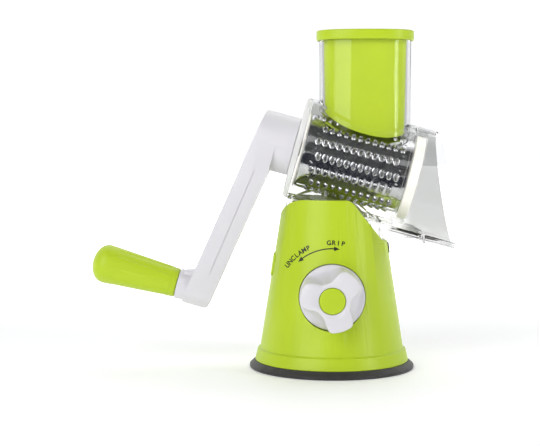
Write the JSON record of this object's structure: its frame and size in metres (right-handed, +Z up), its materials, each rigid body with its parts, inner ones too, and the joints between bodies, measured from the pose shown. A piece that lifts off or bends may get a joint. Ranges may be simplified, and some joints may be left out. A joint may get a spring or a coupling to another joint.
{
  "type": "rotary cheese grater",
  "caption": "Hand-cranked drum grater in a clear housing with a food chute and pusher, on a cone base held down by a suction foot.",
  "frame": {"origin": "centre of the suction foot's underside, on the table", "axes": "+Z up, +X towards the outlet, -Y towards the locking knob"},
  "size_m": [0.2598, 0.124, 0.24],
  "materials": {
    "green_plastic": "satin lime green moulding",
    "white_plastic": "satin cool white moulding",
    "cream_plastic": "satin off-white moulding",
    "clear_plastic": "clear polished plastic",
    "black_rubber": "matt black rubber",
    "drum_steel": "polished stainless sheet, punched",
    "steel": "zinc-plated steel",
    "nylon": "plain grey nylon"
  },
  "bodies": {
    "base": {"base_shell": "green_plastic", "suction_pad": "black_rubber", "base_plate": "nylon", "plate_screw_1": "steel", "plate_screw_2": "steel", "plate_screw_3": "steel", "cam_bracket": "steel", "bracket_screw_1": "steel", "bracket_screw_2": "steel", "lift_spring": "steel", "button_spring": "steel", "clear_housing": "clear_plastic", "housing_chute": "clear_plastic", "housing_neck": "clear_plastic", "housing_back_plate": "clear_plastic", "shaft_bush": "nylon"},
    "crank": {"crank_arm": "white_plastic", "crank_hub_cap": "white_plastic", "shaft_screw": "steel", "drive_shaft": "steel", "grip_axle": "steel", "drum_shell": "drum_steel", "drum_back_disc": "cream_plastic", "drum_front_ring": "cream_plastic"},
    "grip": {"grip": "green_plastic"},
    "pusher": {"pusher": "green_plastic"},
    "knob": {"knob": "white_plastic", "knob_cap": "green_plastic", "knob_screw": "steel", "cam_shaft": "steel"},
    "stem": {"pull_stem": "nylon", "stem_pin": "steel", "pull_plate": "steel"},
    "button": {"release_button": "green_plastic"}
  },
  "joints": [
    {"name": "crank_turn", "type": "hinge", "parent": "base", "child": "crank", "pos_m": [0.0524, 0, 0.1366], "axis": [0.9659, 0, -0.2588], "continuous": true},
    {"name": "grip_spin", "type": "hinge", "parent": "crank", "child": "grip", "pos_m": [0.02222, 0, 0.02397], "axis": [0.9659, 0, -0.2588], "continuous": true},
    {"name": "pusher_slide", "type": "slide", "parent": "base", "child": "pusher", "axis": [0, 0, 1], "range_m": [0, 0.06]},
    {"name": "knob_turn", "type": "hinge", "parent": "base", "child": "knob", "pos_m": [0, 0, 0.055], "axis": [0, 1, 0], "range_deg": [0, 75]},
    {"name": "stem_lift", "type": "slide", "parent": "base", "child": "stem", "axis": [0, 0, 1], "range_m": [0, 0.00487], "deforming": ["lift_spring"]},
    {"name": "button_press", "type": "slide", "parent": "base", "child": "button", "axis": [1, 0, 0], "range_m": [0, 0.0025], "stiffness_N_per_m": 400, "deforming": ["button_spring"]}
  ],
  "couplings": [
    {"joint": "knob_turn", "follows": "stem_lift", "rad_per_m": 268.7}
  ]
}
